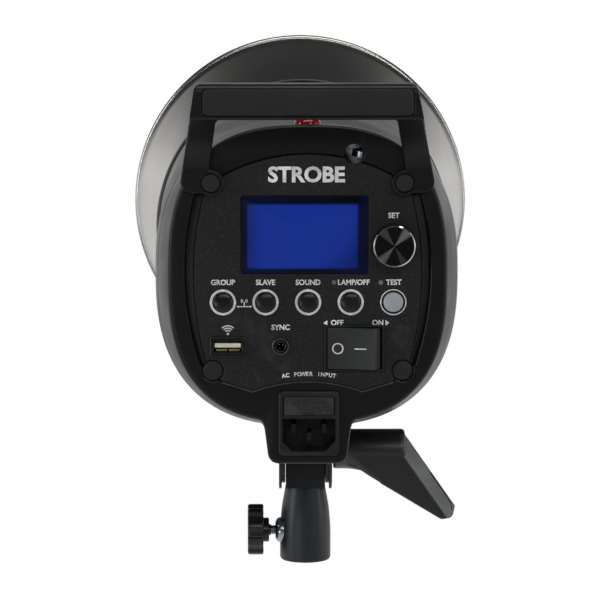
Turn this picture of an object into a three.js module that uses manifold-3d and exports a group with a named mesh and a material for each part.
// Monolight studio strobe with a 180 mm reflector, in millimetres, +Z up.
// +Y is the firing direction and +X is the lever side. The origin is the centre of the
// stand socket's open end. The rear face stands SOCKET_Y behind it, and the light axis
// runs along +Y at AXIS_Z above it. Pieces of the head are drawn in the head's own
// frame: y from the rear face, z from the light axis.

import * as THREE from 'three';
import { mergeVertices } from 'three/addons/utils/BufferGeometryUtils.js';
import Module from 'manifold-3d';

const wasm = await Module();
wasm.setup();

// ---------------------------------------------------------------- driving dimensions

const GAP = 0.3;
const OVERCUT = 2;
const AXIS_Z = 147;
const SOCKET_Y = 100;
const PIVOT_Z = 54;
const RING_SEGMENTS = 40;

// The housing's section is a squircle that eases from the rear face to the waist, and
// from there to the round front ring.
const REAR = { halfWidth: 63, exponent: 2.7, aspect: 1.08, lift: 4.3 };
const WAIST = { y: 50, halfWidth: 70.4, exponent: 2.55, aspect: 1.01 };
const NECK = { y: 150, frontY: 226, halfWidth: 73, exponent: 2.05 };
const FRAME = { depth: 24, wall: 3, plate: 6 };
const SHELL = { wall: 2.6 };
const RING = { radius: 75, rootRadius: 72.5, innerRadius: 70, flareY: 231, frontY: 243 };

const PANEL = {
  face: 1.2, thickness: 2, topZ: 59, topRadius: 80.5, topEndX: 38,
  sideX: 51.6, sideRadius: 149, sideMidZ: 4, sideTopZ: 39.8, sideBottomZ: -36,
  footX: 38.8, footZ: -44.7, kneeX: 25, kneeZ: -49, archTopZ: -44.4,
};
const GROOVE = { sideX: 55.4, sideRadius: 138, midZ: 6, topZ: 41, bottomZ: -37, depth: 1.2 };

const DISPLAY = { x: -1.35, z: 22.5, width: 57.5, height: 35.2 };
const DIAL = { x: 39, z: 18.5, radius: 9.6, top: -11.5, bottom: 0.4, shaftRadius: 3 };
const BUTTONS = { names: ['group', 'slave', 'sound', 'lamp', 'test'], pitch: 19.35, z: -8.3, radius: 4.5 };
const USB = { x: -36.3, z: -28.7, width: 12.8, height: 6.2, frameWidth: 17.5, frameHeight: 8.8 };
const JACK = { x: -12.3, z: -28.5, radius: 3.4, bore: 1.75 };
const SWITCH = { x: 21.2, z: -29.5, halfWidth: 11.3, halfHeight: 9.5, pivotDepth: 5, rest: 10 };
const INLET = { x: 0.6, z: -64, width: 28, height: 30, depth: 24, recessWidth: 24.2, recessHeight: 15 };
const POD = { topHalfWidth: 21, bottomHalfWidth: 17, topZ: -50, bottomZ: -82.9, corner: 5 };
const UMBRELLA = { x: 21, z: 59.2, bore: 4.5, outer: 5.4 };
const PLUG_TOP = { x: 43.8, z: 46.5, radius: 4.1 };
const PLUG_BOTTOM = { x: 43.2, z: -39.7, radius: 4.6 };

const HANDLE = {
  barHalfWidth: 49.5, barBottom: 77.8, barTop: 93.6, barRear: -38, barFront: -16,
  legOuter: 58.4, legInner: 45.2, footZ: 42, earRadius: 5.8, earRear: -4.3,
};

const MOUNT = { opening: 50.3, outer: 69.7, rear: 236, front: 242, lugRadius: 53.5, lugs: 3 };
const REFLECTOR = { rim: 90, throat: 56, seat: 53.5, back: 245.3, front: 360, wall: 1.3, bead: 1.9 };

const BRACKET = {
  halfWidth: 12.7, ear: 3, lip: 1.2, top: -71.4, plate: 6, radius: 16.5, lipRadius: 19.3, halfLength: 21,
};
const SOCKET = { radius: 12.25, bore: 8, boreDepth: 38, shoulderZ: 27, clampZ: 14.3 };
const KNOB = { radius: 12.6, lobes: 9, inner: -20.2, outer: -27.8, collar: 5.85, collarEnd: -17.5 };
const LEVER = { barrel: 9.6, start: 13.3, end: 47.7, halfThickness: 9 };

// ---------------------------------------------------------------- solids and shapes

/** A manifold-3d solid from a closed three.js geometry. */
function solid(geometry) {
  const bare = geometry.clone();
  bare.deleteAttribute('normal');
  bare.deleteAttribute('uv');
  const merged = mergeVertices(bare, 1e-4);
  const corners = merged.getAttribute('position').array;
  const source = merged.index.array;
  const faces = [];
  let volume = 0;
  for (let i = 0; i < source.length; i += 3) {
    const [a, b, c] = [source[i], source[i + 1], source[i + 2]];
    if (a === b || b === c || c === a) continue;
    faces.push(a, b, c);
    const va = new THREE.Vector3().fromArray(corners, 3 * a);
    const vb = new THREE.Vector3().fromArray(corners, 3 * b);
    const vc = new THREE.Vector3().fromArray(corners, 3 * c);
    volume += va.dot(vb.cross(vc));
  }
  if (volume < 0) faces.reverse();
  return new wasm.Manifold(new wasm.Mesh({
    numProp: 3,
    vertProperties: new Float32Array(corners),
    triVerts: new Uint32Array(faces),
  }));
}

/** A three.js geometry from a manifold-3d solid. */
function geometryOf(manifold) {
  const mesh = manifold.getMesh();
  const geometry = new THREE.BufferGeometry();
  geometry.setAttribute('position', new THREE.BufferAttribute(mesh.vertProperties, 3));
  geometry.setIndex(new THREE.BufferAttribute(mesh.triVerts, 1));
  return geometry;
}

const join = (...solids) => solids.reduce((whole, next) => whole.add(next));
const cut = (body, ...tools) => tools.reduce((rest, tool) => rest.subtract(tool), body);
const common = (...solids) => solids.reduce((whole, next) => whole.intersect(next));

/** A box between two corners. */
function block(x0, x1, y0, y1, z0, z1) {
  const geometry = new THREE.BoxGeometry(x1 - x0, y1 - y0, z1 - z0);
  geometry.translate((x0 + x1) / 2, (y0 + y1) / 2, (z0 + z1) / 2);
  return solid(geometry);
}

/** A round bar along an axis, from a to b on it, centred on the two other coordinates. */
function bar(axis, radius, a, b, u = 0, v = 0, segments = 16) {
  const geometry = new THREE.CylinderGeometry(radius, radius, b - a, segments);
  geometry.translate(0, (a + b) / 2, 0);
  if (axis === 'x') geometry.rotateZ(-Math.PI / 2).translate(0, u, v);
  if (axis === 'y') geometry.translate(u, 0, v);
  if (axis === 'z') geometry.rotateX(Math.PI / 2).translate(u, v, 0);
  return solid(geometry);
}

/** A turned body about the Y axis from [radius, y] points, outer side first. */
function turnedY(profile, segments = RING_SEGMENTS) {
  return solid(new THREE.LatheGeometry(profile.map(([r, y]) => new THREE.Vector2(r, y)), segments));
}

/** A turned body about the Z axis from [radius, z] points, outer side first. */
function turnedZ(profile, x = 0, y = 0, segments = 32) {
  const points = profile.map(([r, z]) => new THREE.Vector2(r, z));
  return solid(new THREE.LatheGeometry(points, segments).rotateX(Math.PI / 2).translate(x, y, 0));
}

/** A shape drawn in x and z, made solid from y0 to y1, with an optional edge bevel. */
function slab(shape, y0, y1, bevel = 0, curveSegments = 4) {
  const geometry = new THREE.ExtrudeGeometry(shape, {
    depth: y1 - y0 - 2 * bevel,
    bevelEnabled: bevel > 0,
    bevelThickness: bevel,
    bevelSize: bevel,
    bevelOffset: -bevel,
    bevelSegments: 1,
    curveSegments,
  });
  return solid(geometry.rotateX(Math.PI / 2).translate(0, y1 - bevel, 0));
}

/** A shape drawn in y and z, made solid from x0 to x1. */
function plankX(shape, x0, x1, curveSegments = 8) {
  const geometry = new THREE.ExtrudeGeometry(shape, { depth: x1 - x0, bevelEnabled: false, curveSegments });
  return solid(geometry.rotateX(Math.PI / 2).rotateZ(Math.PI / 2).translate(x0, 0, 0));
}

/** A shape drawn in x and y, made solid from z0 to z1. */
function plankZ(shape, z0, z1, curveSegments = 8) {
  const geometry = new THREE.ExtrudeGeometry(shape, { depth: z1 - z0, bevelEnabled: false, curveSegments });
  return solid(geometry.translate(0, 0, z0));
}

/** A rectangle with round corners about a centre. */
function roundedRect(cx, cz, width, height, corner) {
  const shape = new THREE.Shape();
  const [left, right] = [cx - width / 2, cx + width / 2];
  const [bottom, top] = [cz - height / 2, cz + height / 2];
  shape.moveTo(left + corner, bottom);
  shape.absarc(right - corner, bottom + corner, corner, -Math.PI / 2, 0);
  shape.absarc(right - corner, top - corner, corner, 0, Math.PI / 2);
  shape.absarc(left + corner, top - corner, corner, Math.PI / 2, Math.PI);
  shape.absarc(left + corner, bottom + corner, corner, Math.PI, 1.5 * Math.PI);
  return shape;
}

/** A closed shape through straight points. */
function polygon(points) {
  return new THREE.Shape(points.map(([u, v]) => new THREE.Vector2(u, v)));
}

// ---------------------------------------------------------------- housing section

const clamp01 = (t) => Math.min(1, Math.max(0, t));
const mix = (a, b, t) => a + (b - a) * t;

/** How far the section has eased from the rear face to the waist, 0 to 1. */
function waistEase(y) {
  const t = clamp01(y / WAIST.y);
  return 1 - (1 - t) ** 2;
}

/** How far the section has eased from the neck to the front ring, 0 to 1. */
function frontEase(y) {
  const t = clamp01((y - NECK.y) / (NECK.frontY - NECK.y));
  return t * t * (3 - 2 * t);
}

/** Half the housing's width at a distance from the rear face. */
function halfWidth(y) {
  return mix(mix(REAR.halfWidth, WAIST.halfWidth, waistEase(y)), NECK.halfWidth, frontEase(y));
}

/** Bends a body turned about Y into the housing's squircle section. */
function squareUp(geometry) {
  const position = geometry.getAttribute('position');
  for (let i = 0; i < position.count; i += 1) {
    const [x, y, z] = [position.getX(i), position.getY(i), position.getZ(i)];
    const radius = Math.hypot(x, z);
    if (radius > 0) {
      const exponent = mix(mix(REAR.exponent, WAIST.exponent, waistEase(y)), NECK.exponent, frontEase(y));
      const aspect = mix(mix(REAR.aspect, WAIST.aspect, waistEase(y)), 1, frontEase(y));
      const lift = mix(REAR.lift, 0, waistEase(y));
      const [c, s] = [Math.abs(x) / radius, Math.abs(z) / radius];
      const stretch = (c ** exponent + s ** exponent) ** (-1 / exponent);
      position.setXYZ(i, x * stretch, y, z * stretch * aspect + lift);
    }
  }
  return geometry;
}

/** A squircle body from [half width, y] points, outer side first. */
function squircle(profile) {
  const points = profile.map(([r, y]) => new THREE.Vector2(r, y));
  return solid(squareUp(new THREE.LatheGeometry(points, RING_SEGMENTS)));
}

// ---------------------------------------------------------------- scene graph

const strobe = new THREE.Group();
const standEnd = new THREE.Group();
const lever = new THREE.Group();
const head = new THREE.Group();
lever.position.set(0, 0, PIVOT_Z);
head.position.set(0, -SOCKET_Y, AXIS_Z);
strobe.add(standEnd, lever, head);

const MATERIALS = {
  satinBlack: [0x1c1e20, 0.55, 0],
  grainBlack: [0x17181a, 0.7, 0],
  rubberBlack: [0x202123, 0.8, 0],
  glossBlack: [0x0c0d0e, 0.2, 0],
  glassBlue: [0x182c82, 0.1, 0],
  boardGreen: [0x1d5a35, 0.6, 0],
  anodised: [0x101113, 0.3, 0.9],
  steel: [0xb9bcc0, 0.35, 1],
  cream: [0xe6dcc0, 0.5, 0],
  white: [0xe4e6e8, 0.4, 0],
  clear: [0xe8eef2, 0.05, 0],
  red: [0xa81418, 0.2, 0],
  blueGrey: [0x2d333a, 0.5, 0.4],
  reflectorBlack: [0x26241f, 0.4, 0.5],
  ceramic: [0xd8d4ca, 0.6, 0],
  zinc: [0x9aa0a6, 0.35, 1],
};

/** Adds a named piece to a group, at a place in it. */
function piece(group, name, body, finish, place = [0, 0, 0]) {
  const [color, roughness, metalness] = MATERIALS[finish];
  const material = new THREE.MeshStandardMaterial({ color, roughness, metalness });
  const mesh = new THREE.Mesh(geometryOf(body), material);
  mesh.name = name;
  mesh.position.set(...place);
  group.add(mesh);
  return mesh;
}

// ---------------------------------------------------------------- rear frame and panel

/** The control panel's outline in x and z. */
function panelShape() {
  const shape = new THREE.Shape();
  const archRise = PANEL.archTopZ - PANEL.kneeZ;
  const archRadius = (PANEL.kneeX ** 2 + archRise ** 2) / (2 * archRise);
  const archHalf = Math.asin(PANEL.kneeX / archRadius);
  const sideCentre = PANEL.sideX - PANEL.sideRadius;
  const sideUp = Math.asin((PANEL.sideTopZ - PANEL.sideMidZ) / PANEL.sideRadius);
  const sideDown = Math.asin((PANEL.sideBottomZ - PANEL.sideMidZ) / PANEL.sideRadius);
  const topHalf = Math.asin(PANEL.topEndX / PANEL.topRadius);
  const up = Math.PI / 2;
  shape.moveTo(-PANEL.kneeX, PANEL.kneeZ);
  shape.absarc(0, PANEL.archTopZ - archRadius, archRadius, up + archHalf, up - archHalf, true);
  shape.lineTo(PANEL.footX, PANEL.footZ);
  shape.absarc(sideCentre, PANEL.sideMidZ, PANEL.sideRadius, sideDown, sideUp, false);
  shape.absarc(0, PANEL.topZ - PANEL.topRadius, PANEL.topRadius, up - topHalf, up + topHalf, false);
  shape.absarc(-sideCentre, PANEL.sideMidZ, PANEL.sideRadius, Math.PI - sideUp, Math.PI - sideDown, false);
  shape.lineTo(-PANEL.footX, PANEL.footZ);
  return shape;
}

/** The panel's outline as a solid, grown or shrunk all round. */
function panelSlab(y0, y1, grow) {
  const factor = 1 + grow / PANEL.sideX;
  const settings = { depth: y1 - y0, bevelEnabled: false, curveSegments: 8 };
  const geometry = new THREE.ExtrudeGeometry(panelShape(), settings);
  return solid(geometry.scale(factor, factor, 1).rotateX(Math.PI / 2).translate(0, y1, 0));
}

/** The bands beside the panel, cut down to its level. */
function grooveSlab() {
  const shape = new THREE.Shape();
  const centre = GROOVE.sideX - GROOVE.sideRadius;
  const up = Math.asin((GROOVE.topZ - GROOVE.midZ) / GROOVE.sideRadius);
  const down = Math.asin((GROOVE.bottomZ - GROOVE.midZ) / GROOVE.sideRadius);
  shape.absarc(centre, GROOVE.midZ, GROOVE.sideRadius, down, up, false);
  shape.absarc(-centre, GROOVE.midZ, GROOVE.sideRadius, Math.PI - up, Math.PI - down, false);
  return slab(shape, -OVERCUT, GROOVE.depth, 0, 8);
}

/** The outline of the pod that carries the mains inlet, narrowing downwards. */
function podShape(inset) {
  const [top, low] = [POD.topHalfWidth - inset, POD.bottomHalfWidth - inset];
  const floor = POD.bottomZ + inset;
  const corner = POD.corner - inset / 2;
  const shape = new THREE.Shape();
  shape.moveTo(-low + corner, floor);
  shape.lineTo(low - corner, floor);
  shape.quadraticCurveTo(low, floor, low + 0.6, floor + corner);
  shape.lineTo(top, POD.topZ - 8);
  shape.lineTo(top, POD.topZ);
  shape.lineTo(-top, POD.topZ);
  shape.lineTo(-top, POD.topZ - 8);
  shape.lineTo(-low - 0.6, floor + corner);
  shape.quadraticCurveTo(-low, floor, -low + corner, floor);
  return shape;
}

function rearFrame() {
  const { depth, wall, plate } = FRAME;
  const cup = squircle([
    [0, 0], [61.6, 0], [62.9, 0.8], [halfWidth(6), 6], [halfWidth(14), 14], [halfWidth(depth), depth],
    [halfWidth(depth) - wall, depth], [halfWidth(14) - wall, 14], [halfWidth(plate) - wall, plate],
    [0, plate],
  ]);
  const pod = cut(slab(podShape(0), 0, depth, 0.8), slab(podShape(2.5), 3, depth + OVERCUT));
  const podTop = block(-30, 30, -OVERCUT, depth + OVERCUT, POD.topZ - 8, POD.topZ + 1);
  const inside = squircle([
    [0, plate], [halfWidth(plate) - wall, plate], [halfWidth(14) - wall, 14],
    [halfWidth(depth) - wall, depth], [halfWidth(depth) - wall, depth + OVERCUT], [0, depth + OVERCUT],
  ]);
  const hull = cut(join(cup, cut(pod, inside, podTop)), panelSlab(plate - OVERCUT, plate + 1, -4));
  return cut(
    hull,
    grooveSlab(),
    panelSlab(-OVERCUT, PANEL.face + PANEL.thickness + GAP, GAP),
    panelSlab(0, plate + 1, -4),
    slab(roundedRect(INLET.x, INLET.z, INLET.width + 2 * GAP, INLET.height + 2 * GAP, 1.8), -OVERCUT, 0.5),
    block(INLET.x - 12.8, INLET.x + 12.8, -OVERCUT, depth + 1, INLET.z - 13.8, INLET.z + 13.8),
    block(USB.x - 7.4, USB.x + 7.4, 0, plate + 1, USB.z - 4.1, USB.z + 4.1),
    bar('y', UMBRELLA.outer + GAP, -OVERCUT, plate + 1, UMBRELLA.x, UMBRELLA.z),
    bar('z', 6.6, 60, 80, 0, 15, 24),
    ...[-1, 1].flatMap((side) => [
      bar('y', PLUG_BOTTOM.radius + GAP, -OVERCUT, 3.5, side * PLUG_BOTTOM.x, PLUG_BOTTOM.z),
      bar('y', 1.9, -OVERCUT, plate + 1, side * PLUG_TOP.x, PLUG_TOP.z, 12),
    ]),
  );
}

function controlPanel() {
  const { face, thickness } = PANEL;
  const [front, back] = [face - OVERCUT * 2, face + thickness + OVERCUT];
  const plate = panelSlab(face, face + thickness, 0);
  const usbFrame = slab(roundedRect(USB.x, USB.z, USB.frameWidth, USB.frameHeight, 1.2), 0.4, face + 0.5);
  const window = roundedRect(DISPLAY.x, DISPLAY.z, DISPLAY.width + 2 * GAP, DISPLAY.height + 2 * GAP, 1.5);
  const buttonHoles = BUTTONS.names.map((_, i) => (
    bar('y', BUTTONS.radius + GAP, front, back, buttonX(i), BUTTONS.z)));
  return cut(
    join(plate, usbFrame),
    slab(window, front, back),
    ...buttonHoles,
    bar('y', DIAL.shaftRadius + 0.6, front, back, DIAL.x, DIAL.z),
    slab(roundedRect(USB.x, USB.z, USB.width + 1.6, USB.height + 1.6, 0.6), front, back),
    bar('y', JACK.radius + GAP, front, back, JACK.x, JACK.z),
    slab(roundedRect(SWITCH.x, SWITCH.z, 28.2, 22.1, 1), front, back),
    bar('y', UMBRELLA.outer + GAP, front, back, UMBRELLA.x, UMBRELLA.z),
    ...[-1, 1].flatMap((side) => [
      bar('y', PLUG_BOTTOM.radius + GAP, front, back, side * PLUG_BOTTOM.x, PLUG_BOTTOM.z),
      bar('y', 1.9, front, back, side * PLUG_TOP.x, PLUG_TOP.z, 12),
    ]),
  );
}

function buttonX(i) {
  return (i - 2) * BUTTONS.pitch + 0.2;
}

/** A push button: domed cap, retaining flange behind the panel, and stem. */
function pushButton() {
  const r = BUTTONS.radius;
  return turnedY([[0, 0.2], [3, 0.5], [r, 1.5], [r, 3.6], [5.6, 3.6], [5.6, 4.6],
    [2, 4.6], [2, 10.6], [0, 10.6]], 12);
}

/** The switch's rocker in its middle position, about its pivot. */
function rockerBody() {
  const { halfWidth: w, pivotDepth: p } = SWITCH;
  const outline = polygon([[0, -p - 1.5], [w * 0.5, -p - 2.3], [w, -p - 3.5], [11, -2], [9, 3], [2.5, 4],
    [-2.5, 4], [-9, 3], [-11, -2], [-w, -p - 3.5], [-w * 0.5, -p - 2.3]]);
  return plankZ(outline, -SWITCH.halfHeight, SWITCH.halfHeight);
}

function switchBezel() {
  const { x, z } = SWITCH;
  const body = slab(roundedRect(x, z, 27.6, 21.5, 0.8), 1, 22);
  return cut(body, slab(roundedRect(x, z, 25.4, 19.7, 0.4), -OVERCUT, 15));
}

function inletBody() {
  const { x, z, depth, recessWidth, recessHeight } = INLET;
  const flange = slab(roundedRect(x, z, INLET.width, INLET.height, 1.5), -1, 0.2);
  const body = block(x - 12.5, x + 12.5, 0, depth, z - 13.5, z + 13.5);
  const recessTop = z + 2;
  const [half, floor, chamfer] = [recessWidth / 2, recessTop - recessHeight, 4.5];
  const recess = polygon([[x - half, recessTop], [x - half, floor + chamfer], [x - half + chamfer, floor],
    [x + half - chamfer, floor], [x + half, floor + chamfer], [x + half, recessTop]]);
  return cut(
    join(flange, body),
    slab(recess, -OVERCUT * 2, 16),
    block(x - 11.3, x + 11.3, -OVERCUT * 2, 17, z + 3.9, z + 12.1),
    ...pinPlaces().map(([px, pz]) => block(px - 1.3, px + 1.3, 10, depth + 1, pz - 2.3, pz + 2.3)),
  );
}

/** Centres of the inlet's line, neutral and earth pins in x and z. */
function pinPlaces() {
  return [[INLET.x - 7, INLET.z - 3], [INLET.x + 7, INLET.z - 3], [INLET.x, INLET.z - 7]];
}

function fuseDrawer() {
  const { x, z } = INLET;
  const face = slab(roundedRect(x, z + 8, 22.4, 8, 0.6), -1.6, 1, 0.4);
  const tray = block(x - 11, x + 11, 0.8, 16, z + 4.3, z + 11.7);
  const pocket = block(x - 10.3, x + 10.3, 8, 14, z + 5.3, z + 13);
  return cut(join(face, tray), pocket);
}

function addRear() {
  piece(head, 'rear_frame', rearFrame(), 'satinBlack');
  piece(head, 'control_panel', controlPanel(), 'grainBlack');
  const { x, z, width, height } = DISPLAY;
  const glass = slab(roundedRect(0, 0, width, height, 1.2), 1.4, 2.9);
  piece(head, 'display_window', glass, 'glassBlue', [x, 0, z]);
  piece(head, 'display_module', block(-30.5, 30.5, 3.6, 10, -19, 19), 'boardGreen', [x, 0, z]);
  piece(head, 'control_board', cut(
    block(-46, 46, 12, 13.6, -15, 44),
    ...[-1, 1].map((side) => bar('y', 1.6, 11, 15, side * 42, 40, 12)),
  ), 'boardGreen');
  BUTTONS.names.forEach((name, i) => {
    const finish = name === 'test' ? 'white' : 'rubberBlack';
    piece(head, `button_${name}`, pushButton(), finish, [buttonX(i), 0, BUTTONS.z]);
  });
  addDial();
  addSockets();
  addPlugs();
}

function addDial() {
  const place = [DIAL.x, 0, DIAL.z];
  const { radius, top, bottom, shaftRadius } = DIAL;
  const knob = turnedY([[0, top], [radius - 1.2, top], [radius, top + 1.2], [radius, bottom - 0.5],
    [radius - 0.5, bottom], [shaftRadius + GAP, bottom], [shaftRadius + GAP, top + 3], [0, top + 3]], 32);
  const shaft = bar('y', shaftRadius, top + 3.3, 8, 0, 0, 20);
  const plunger = bar('y', 2.4, 8.3, 10.2, 0, 0, 16);
  const encoder = cut(block(-6, 6, 3.6, 11.7, -6, 6), bar('y', shaftRadius + GAP, 0, 10.9, 0, 0, 20));
  piece(head, 'dial_knob', knob, 'anodised', place);
  piece(head, 'dial_shaft', shaft, 'steel', place);
  piece(head, 'dial_plunger', plunger, 'steel', place);
  piece(head, 'dial_encoder', encoder, 'satinBlack', place);
}

function addSockets() {
  const { width, height } = USB;
  const shellShape = roundedRect(0, 0, width + 1, height + 1, 0.6);
  const mouth = roundedRect(0, 0, width, height, 0.4);
  const shell = cut(slab(shellShape, 0.2, 16), slab(mouth, -OVERCUT, 18));
  piece(head, 'usb_shell', shell, 'steel', [USB.x, 0, USB.z]);
  piece(head, 'usb_tongue', join(
    block(-5.7, 5.7, 1.5, 13, 0.2, 2.2),
    block(-6, 6, 12.5, 15.6, -2.7, 2.7),
  ), 'cream', [USB.x, 0, USB.z]);
  piece(head, 'sync_jack', turnedY([[JACK.bore, -0.3], [JACK.radius - 0.4, -0.3], [JACK.radius, 0.1],
    [JACK.radius, 14], [JACK.bore, 14], [JACK.bore, -0.3]], 24), 'satinBlack', [JACK.x, 0, JACK.z]);
  piece(head, 'switch_bezel', switchBezel(), 'satinBlack');
  const rocker = piece(head, 'switch_rocker', rockerBody(), 'glossBlack',
    [SWITCH.x, PANEL.face + SWITCH.pivotDepth, SWITCH.z]);
  rocker.rotation.z = -THREE.MathUtils.degToRad(SWITCH.rest);
  piece(head, 'inlet_body', inletBody(), 'satinBlack');
  ['line', 'neutral', 'earth'].forEach((name, i) => {
    const [x, z] = pinPlaces()[i];
    piece(head, `inlet_pin_${name}`, block(-1, 1, 4, INLET.depth - GAP, -2, 2), 'steel', [x, 0, z]);
  });
  piece(head, 'fuse_drawer', fuseDrawer(), 'satinBlack');
  piece(head, 'fuse', bar('x', 2.5, -10, 10, 0, 0, 16), 'clear', [INLET.x, 11, INLET.z + 8.2]);
}

function addPlugs() {
  const topRadius = PLUG_TOP.radius;
  const plugTop = turnedY([[0, 0], [topRadius - 0.4, 0], [topRadius, 0.4], [topRadius, 1.3], [0, 1.3]], 16);
  const plugLow = turnedY([[0, 0], [PLUG_BOTTOM.radius - 0.4, 0], [PLUG_BOTTOM.radius, 0.4],
    [PLUG_BOTTOM.radius, 2.6], [0, 2.6]], 16);
  const screw = turnedY([[0, -2.7], [3.2, -2.7], [3.2, -1.1], [1.5, -1.1], [1.5, 9], [0, 9]], 12);
  for (const [side, name] of [[-1, 'left'], [1, 'right']]) {
    const topPlace = [side * PLUG_TOP.x, HANDLE.earRear - 0.1, PLUG_TOP.z];
    const bottomPlace = [side * PLUG_BOTTOM.x, 0.6, PLUG_BOTTOM.z];
    piece(head, `screw_plug_top_${name}`, plugTop, 'rubberBlack', topPlace);
    piece(head, `screw_plug_bottom_${name}`, plugLow, 'rubberBlack', bottomPlace);
    piece(head, `handle_screw_${name}`, screw, 'zinc', [side * PLUG_TOP.x, 0, PLUG_TOP.z]);
  }
}

// ---------------------------------------------------------------- handle

/** The handle seen from behind: bar, two spreading legs and round ears. */
function handleFront() {
  const h = HANDLE;
  const outer = new THREE.Shape();
  outer.moveTo(-h.legOuter + 2, h.footZ);
  outer.lineTo(h.legOuter - 2, h.footZ);
  outer.quadraticCurveTo(h.legOuter, h.footZ + 1, h.legOuter, h.footZ + 6);
  outer.lineTo(h.barHalfWidth + 1.5, h.barTop - 6);
  outer.quadraticCurveTo(h.barHalfWidth, h.barTop, h.barHalfWidth - 5, h.barTop);
  outer.lineTo(-h.barHalfWidth + 5, h.barTop);
  outer.quadraticCurveTo(-h.barHalfWidth, h.barTop, -h.barHalfWidth - 1.5, h.barTop - 6);
  outer.lineTo(-h.legOuter, h.footZ + 6);
  outer.quadraticCurveTo(-h.legOuter, h.footZ + 1, -h.legOuter + 2, h.footZ);
  const inner = new THREE.Shape();
  const innerTop = h.barHalfWidth - 8.5;
  inner.moveTo(-h.legInner, h.footZ - 5);
  inner.lineTo(h.legInner, h.footZ - 5);
  inner.lineTo(h.legInner, h.footZ + 6);
  inner.lineTo(innerTop + 0.4, h.barBottom - 3);
  inner.quadraticCurveTo(innerTop, h.barBottom, innerTop - 3, h.barBottom);
  inner.lineTo(-innerTop + 3, h.barBottom);
  inner.quadraticCurveTo(-innerTop, h.barBottom, -innerTop - 0.4, h.barBottom - 3);
  inner.lineTo(-h.legInner, h.footZ + 6);
  const [back, front] = [h.barRear - 5, 5];
  const ears = [-1, 1].map((side) => bar('y', h.earRadius, back, front, side * PLUG_TOP.x, PLUG_TOP.z, 28));
  return join(cut(slab(outer, back, front), slab(inner, back - 1, front + 1)), ...ears);
}

/** The handle seen from the side: flat foot, leg leaning back, and bar. */
function handleSide() {
  const h = HANDLE;
  const shape = new THREE.Shape();
  shape.moveTo(-GAP, h.footZ - 4);
  shape.lineTo(-GAP, h.footZ + 14);
  shape.quadraticCurveTo(-5, h.barBottom - 2, h.barFront, h.barBottom + 6);
  shape.lineTo(h.barFront, h.barTop - 3);
  shape.quadraticCurveTo(h.barFront, h.barTop, h.barFront - 3, h.barTop);
  shape.lineTo(h.barRear + 3, h.barTop);
  shape.quadraticCurveTo(h.barRear, h.barTop, h.barRear, h.barTop - 3);
  shape.lineTo(h.barRear, h.barBottom + 1.5);
  shape.quadraticCurveTo(h.barRear, h.barBottom, h.barRear + 1.5, h.barBottom);
  shape.lineTo(h.barRear + 4, h.barBottom);
  shape.quadraticCurveTo(-8, h.footZ + 26, h.earRear, h.footZ + 11);
  shape.lineTo(h.earRear, h.footZ - 4);
  return plankX(shape, -h.legOuter - 1, h.legOuter + 1, 6);
}

function addHandle() {
  const h = HANDLE;
  const padZ = (h.barBottom + h.barTop) / 2;
  const padShape = roundedRect(0, padZ, 88, 11, 3);
  const pocket = roundedRect(0, padZ, 88 + 2 * GAP, 11 + 2 * GAP, 3.2);
  const body = cut(
    common(handleFront(), handleSide()),
    slab(pocket, h.barRear - OVERCUT, h.barRear + 1.5, 0, 5),
    ...[-1, 1].flatMap((side) => [
      bar('y', PLUG_TOP.radius + GAP, h.earRear - OVERCUT, -2.8, side * PLUG_TOP.x, PLUG_TOP.z),
      bar('y', 3.5, h.earRear, -0.8, side * PLUG_TOP.x, PLUG_TOP.z, 20),
      bar('y', 1.9, h.earRear, 1, side * PLUG_TOP.x, PLUG_TOP.z, 12),
    ]),
  );
  piece(head, 'carry_handle', body, 'satinBlack');
  piece(head, 'handle_grip_pad', slab(padShape, h.barRear - 0.3, h.barRear + 1.2, 0.3, 5), 'rubberBlack');
}

// ---------------------------------------------------------------- housing shells

/** Side vent slots, cut right through both sides of the housing. */
function ventSlots() {
  const slots = [];
  for (const row of [-1, 1]) {
    for (let i = 0; i < 6; i += 1) {
      const y = 66 + i * 10;
      slots.push(block(-90, 90, y, y + 4, row > 0 ? 7 : -33, row > 0 ? 33 : -7));
    }
  }
  return slots;
}

function addHousing() {
  const { wall } = SHELL;
  const start = FRAME.depth + GAP;
  const stations = [start, 37, WAIST.y, NECK.y, 172, 196, NECK.frontY];
  const outer = stations.map((y) => [halfWidth(y), y]);
  const inner = stations.map((y) => [halfWidth(y) - wall, y]).reverse();
  const tube = squircle([...outer, ...inner, outer[0]]);
  const vented = cut(tube, ...ventSlots());
  const half = GAP / 2;
  const upper = common(vented, block(-100, 100, 0, 300, half, 100));
  const lower = common(vented, block(-100, 100, 0, 300, -100, -half));
  const bracketBolts = [-1, 1].map((end) => bar('z', 2.2, -80, -60, 0, SOCKET_Y + end * 13, 12));
  piece(head, 'housing_upper_shell', upper, 'satinBlack');
  piece(head, 'housing_lower_shell', cut(lower, ...bracketBolts), 'satinBlack');
  piece(head, 'slave_sensor_dome', turnedZ([[0, 65.4], [7.6, 65.4], [7.6, 67], [6.3, 67], [6.3, 72],
    [5.6, 73.4], [3.6, 74.5], [0, 75]], 0, 15, 20), 'red');
  piece(head, 'umbrella_tube', cut(
    bar('y', UMBRELLA.outer, 0.2, 241, 0, 0, 24),
    bar('y', UMBRELLA.bore, -1, 242, 0, 0, 24),
  ), 'satinBlack', [UMBRELLA.x, 0, UMBRELLA.z]);
  const leaf = polygon([[2.6, 1.5], [3.1, 1.5], [3.1, 8], [0, 16], [3.1, 25], [2.6, 25.3], [-0.6, 16],
    [2.6, 7.8]]);
  piece(head, 'umbrella_clip', plankZ(leaf, -2.2, 2.2), 'steel', [UMBRELLA.x, 0, UMBRELLA.z]);
}

// ---------------------------------------------------------------- inside the housing

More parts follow.
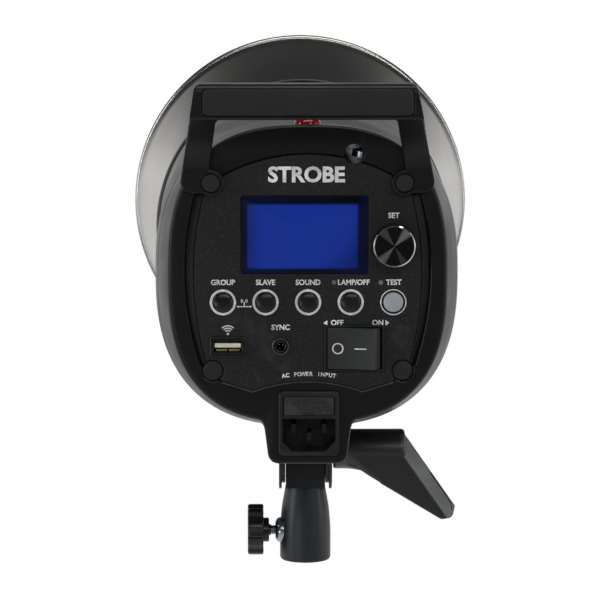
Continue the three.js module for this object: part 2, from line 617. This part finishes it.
function addInside() {
  for (const [side, name] of [[-1, 'left'], [1, 'right']]) {
    piece(head, `capacitor_${name}`, bar('y', 17.5, 56, 136, 0, 0, 20), 'satinBlack', [side * 22, 0, -12]);
  }
  piece(head, 'power_board', cut(
    block(-48, 48, 50, 200, -31.6, -30),
    ...[[-44, 54], [44, 54], [-44, 196], [44, 196]].map(([x, y]) => bar('z', 1.7, -33, -28, x, y, 12)),
  ), 'boardGreen');
  const spokes = [0, 1].map((turn) => (
    turn === 0 ? block(-30, 30, 43, 45, -1.5, 1.5) : block(-1.5, 1.5, 43, 45, -30, 30)));
  const square = cut(block(-30, 30, 30, 45, -30, 30), bar('y', 28.5, 29, 46, 0, 0, 24));
  piece(head, 'fan_frame', join(square, ...spokes, bar('y', 12, 43, 45, 0, 0, 24)), 'satinBlack');
  piece(head, 'fan_rotor', fanRotor(), 'satinBlack', [0, 36.5, 0]);
}

/** A seven-bladed fan about Y. */
function fanRotor() {
  const blades = [];
  for (let i = 0; i < 7; i += 1) {
    const blade = new THREE.BoxGeometry(1.4, 8, 15.5);
    blade.rotateZ(0.75).translate(0, 0, 19).rotateY((i * 2 * Math.PI) / 7);
    blades.push(solid(blade));
  }
  return join(bar('y', 12.5, -5.5, 5.5, 0, 0, 24), ...blades);
}

// ---------------------------------------------------------------- light end

/** Blocks that cover an angle range of a ring about Y, one for each bayonet lug. */
function lugSectors(halfAngle, inner, outer, y0, y1) {
  const sectors = [];
  for (let i = 0; i < MOUNT.lugs; i += 1) {
    const middle = Math.PI / 2 + (i * 2 * Math.PI) / MOUNT.lugs;
    const shape = new THREE.Shape();
    shape.absarc(0, 0, outer, middle - halfAngle, middle + halfAngle, false);
    shape.absarc(0, 0, inner, middle + halfAngle, middle - halfAngle, true);
    sectors.push(slab(shape, y0, y1, 0, 4));
  }
  return sectors;
}

function addLightEnd() {
  const ring = turnedY([
    [RING.rootRadius, NECK.frontY + GAP], [RING.radius, RING.flareY], [RING.radius, RING.frontY - 2],
    [RING.radius - 1.5, RING.frontY], [RING.innerRadius, RING.frontY], [RING.innerRadius, NECK.frontY + GAP],
    [RING.rootRadius, NECK.frontY + GAP],
  ]);
  const slideSlot = block(-6.3, 6.3, 228.7, 234.3, -90, -60);
  piece(head, 'front_ring', cut(ring, slideSlot), 'satinBlack');
  const plate = turnedY([[MOUNT.outer, MOUNT.rear], [MOUNT.outer, MOUNT.front], [MOUNT.opening, MOUNT.front],
    [MOUNT.opening, MOUNT.rear], [MOUNT.outer, MOUNT.rear]], 40);
  const slots = lugSectors(0.2, 48, MOUNT.lugRadius + 0.8, MOUNT.rear - 1, MOUNT.front + 1);
  const turned = slots.map((slot) => slot.rotate([0, 30, 0]));
  piece(head, 'mount_plate', cut(
    plate,
    ...turned,
    bar('y', UMBRELLA.outer + GAP, MOUNT.rear - 1, MOUNT.front + 1, UMBRELLA.x, UMBRELLA.z),
  ), 'zinc');
  piece(head, 'release_slider', join(
    block(-6, 6, 229, 234, -79, -60),
    block(-4, 4, 229, 231, -61, -51.5),
    block(-6, 6, 227, 236, -80.5, -77.2),
  ), 'zinc');
  addLamps();
  addReflector();
}

function addLamps() {
  const base = turnedY([[17, 222], [44, 222], [44, 234], [42, 236], [17, 236], [17, 222]], 32);
  piece(head, 'tube_base', base, 'ceramic');
  const cup = turnedY([[0, 202], [16.4, 202], [16.4, 240], [13.5, 240], [13.5, 214], [0, 214]], 24);
  piece(head, 'lamp_socket', cup, 'ceramic');
  piece(head, 'modelling_lamp', turnedY([[0, 214.4], [12.6, 214.4], [12.6, 238], [9, 244], [16, 258],
    [18.4, 268], [17.6, 276], [14, 283], [8, 287.6], [0, 289.2]], 20), 'clear');
  piece(head, 'flash_tube', flashTube(), 'clear');
}

/** A ring-shaped flash tube with two legs back to its base. */
function flashTube() {
  const [ringRadius, tubeRadius, ringY, footY] = [29, 4, 262, 236.4];
  const openHalf = 0.28;
  const legX = ringRadius * Math.sin(openHalf);
  const legZ = -ringRadius * Math.cos(openHalf);
  const points = [new THREE.Vector3(-legX, footY, legZ), new THREE.Vector3(-legX, ringY - 9, legZ)];
  for (let i = 0; i <= 10; i += 1) {
    const angle = mix(openHalf + 0.12, 2 * Math.PI - openHalf - 0.12, i / 10);
    points.push(new THREE.Vector3(-ringRadius * Math.sin(angle), ringY, -ringRadius * Math.cos(angle)));
  }
  points.push(new THREE.Vector3(legX, ringY - 9, legZ), new THREE.Vector3(legX, footY, legZ));
  const path = new THREE.CatmullRomCurve3(points, false, 'centripetal');
  const section = new THREE.Shape().absarc(0, 0, tubeRadius, 0, 2 * Math.PI, false);
  return solid(new THREE.ExtrudeGeometry(section, { steps: 30, extrudePath: path, curveSegments: 4 }));
}

/** The dish's outer radius at a fraction of its depth. */
function dishRadius(t) {
  return mix(REFLECTOR.throat, REFLECTOR.rim - 1.4, t ** 0.85);
}

function addReflector() {
  const { seat, throat, back, front, wall, rim, bead } = REFLECTOR;
  const outer = [];
  const inner = [];
  const steps = 3;
  for (let i = 0; i <= steps; i += 1) {
    const t = i / steps;
    const y = mix(back + 3, front - 3, t);
    outer.push([dishRadius(t), y]);
    inner.push([dishRadius(t) - wall, y]);
  }
  const dish = turnedY([
    [seat, back], [throat, back], ...outer, [rim, front - 3], [rim, front - 1], [rim - bead / 2, front],
    [rim - bead, front], ...inner.reverse(), [throat - wall, back + 1.5], [seat, back + 1.5], [seat, back],
  ], RING_SEGMENTS);
  piece(head, 'reflector_dish', cut(dish, bar('y', 5.2, 240, 340, UMBRELLA.x, UMBRELLA.z)), 'reflectorBlack');
  const collar = turnedY([[46, 228], [50, 228], [50, 242.3], [58, 242.3], [58, 245], [46, 245],
    [46, 228]], 40);
  const lugs = lugSectors(0.14, 48, MOUNT.lugRadius, 231.5, 235.6);
  piece(head, 'reflector_collar', cut(
    join(collar, ...lugs),
    bar('y', 5.2, 240, 250, UMBRELLA.x, UMBRELLA.z),
  ), 'zinc');
}

// ---------------------------------------------------------------- stand end

function addBracket() {
  const { halfWidth: w, ear, lip, top, plate, radius, lipRadius, halfLength } = BRACKET;
  const pivot = PIVOT_Z - AXIS_Z;
  const earShape = (reach) => {
    const shape = new THREE.Shape();
    shape.absarc(SOCKET_Y, pivot, reach, Math.PI, 2 * Math.PI, false);
    shape.lineTo(SOCKET_Y + halfLength, top - plate + 1);
    shape.lineTo(SOCKET_Y + halfLength, top);
    shape.lineTo(SOCKET_Y - halfLength, top);
    shape.lineTo(SOCKET_Y - halfLength, top - plate + 1);
    return shape;
  };
  const yoke = join(
    plankX(earShape(radius), -w, w, 12),
    plankX(earShape(lipRadius), -w, -w + lip, 12),
    plankX(earShape(lipRadius), w - lip, w, 12),
  );
  const throat = block(-w + ear, w - ear, SOCKET_Y - 40, SOCKET_Y + 40, pivot - 40, top - plate);
  piece(head, 'tilt_bracket', cut(
    yoke,
    throat,
    bar('x', 4.4, -20, 20, SOCKET_Y, pivot),
  ), 'blueGrey');
  piece(head, 'tilt_bolt', join(
    bar('x', 4, -14, 40, 0, 0, 20),
    bar('x', 7, -16.5, -13, 0, 0, 6),
  ), 'zinc', [0, SOCKET_Y, pivot]);
}

/** The lever's arm, its outer face sloped towards the rear. */
function leverArm() {
  const { halfThickness: half } = LEVER;
  const shape = polygon([[28, -9.4], [65.2, -32.9], [70.6, -33], [71.9, -27.5], [67.4, -19], [60.6, -8.2],
    [50.2, 9.2], [47.8, 9], [47.8, -4.5], [40, -7.5]]);
  const slope = new THREE.BoxGeometry(60, 14, 90);
  slope.translate(30, -7, 0).rotateZ(0.62).rotateY(-Math.atan2(15.2, 26.5)).translate(49.8, -half, -4.9);
  return cut(slab(shape, -half, half), solid(slope));
}

function addLever() {
  const { barrel, start, end } = LEVER;
  const drum = bar('x', barrel, start, end - 0.2, 0, 0, 32);
  piece(lever, 'tilt_lever', cut(join(drum, leverArm()), bar('x', 4.4, 0, 41, 0, 0, 20)), 'satinBlack');
}

function addStandEnd() {
  const { radius, bore, boreDepth, shoulderZ, clampZ } = SOCKET;
  const column = turnedZ([[0, 0], [radius - 1, 0], [radius, 1], [radius, 12], [radius - 0.3, 20],
    [11.2, shoulderZ], [9.6, 35.5], [9.4, 36.8], [0, 36.8]], 0, 0, 24);
  const tongue = new THREE.Shape();
  tongue.moveTo(-10, 30);
  tongue.lineTo(10, 30);
  tongue.lineTo(12.5, PIVOT_Z - 3);
  tongue.absarc(0, PIVOT_Z, 12.8, 0, Math.PI, false);
  tongue.lineTo(-12.5, PIVOT_Z - 3);
  const tongueWidth = BRACKET.halfWidth - BRACKET.ear - GAP;
  const body = join(column, plankX(tongue, -tongueWidth, tongueWidth, 16));
  piece(standEnd, 'stand_receiver', cut(
    body,
    bar('z', bore, -1, boreDepth, 0, 0, 32),
    bar('x', 4.4, -20, 20, 0, PIVOT_Z),
    bar('x', 3.4, -20, -5, 0, clampZ, 16),
    bar('x', 6.5, -20, -10, 0, clampZ, 24),
  ), 'blueGrey');
  piece(standEnd, 'clamp_boss', cut(
    join(bar('x', 6.2, -12.2, -10.3, 0, 0, 24), bar('x', 5, -13, -12, 0, 0, 24)),
    bar('x', 3.4, -20, -5, 0, 0, 16),
  ), 'zinc', [0, 0, clampZ]);
  piece(standEnd, 'clamp_pad', bar('x', 3, -9.9, -8.1, 0, 0, 16), 'zinc', [0, 0, clampZ]);
  piece(standEnd, 'clamp_screw', bar('x', 2.4, -24.6, -10.2, 0, 0, 16), 'zinc', [0, 0, clampZ]);
  piece(standEnd, 'star_knob', starKnob(), 'glossBlack', [0, 0, clampZ]);
}

/** The clamp's lobed hand knob along X. */
function starKnob() {
  const shape = new THREE.Shape();
  const steps = KNOB.lobes * 6;
  for (let i = 0; i < steps; i += 1) {
    const angle = (i / steps) * 2 * Math.PI;
    const r = KNOB.radius - 0.75 + 0.75 * Math.cos(KNOB.lobes * angle);
    const [u, v] = [r * Math.cos(angle), r * Math.sin(angle)];
    if (i === 0) shape.moveTo(u, v);
    else shape.lineTo(u, v);
  }
  const grip = plankX(shape, KNOB.outer, KNOB.inner);
  const collar = bar('x', KNOB.collar, KNOB.inner - 1, KNOB.collarEnd, 0, 0, 24);
  return cut(join(grip, collar), bar('x', 2.7, -24.9, -10, 0, 0, 16));
}

addRear();
addHandle();
addHousing();
addInside();
addLightEnd();
addBracket();
addLever();
addStandEnd();

export default strobe;
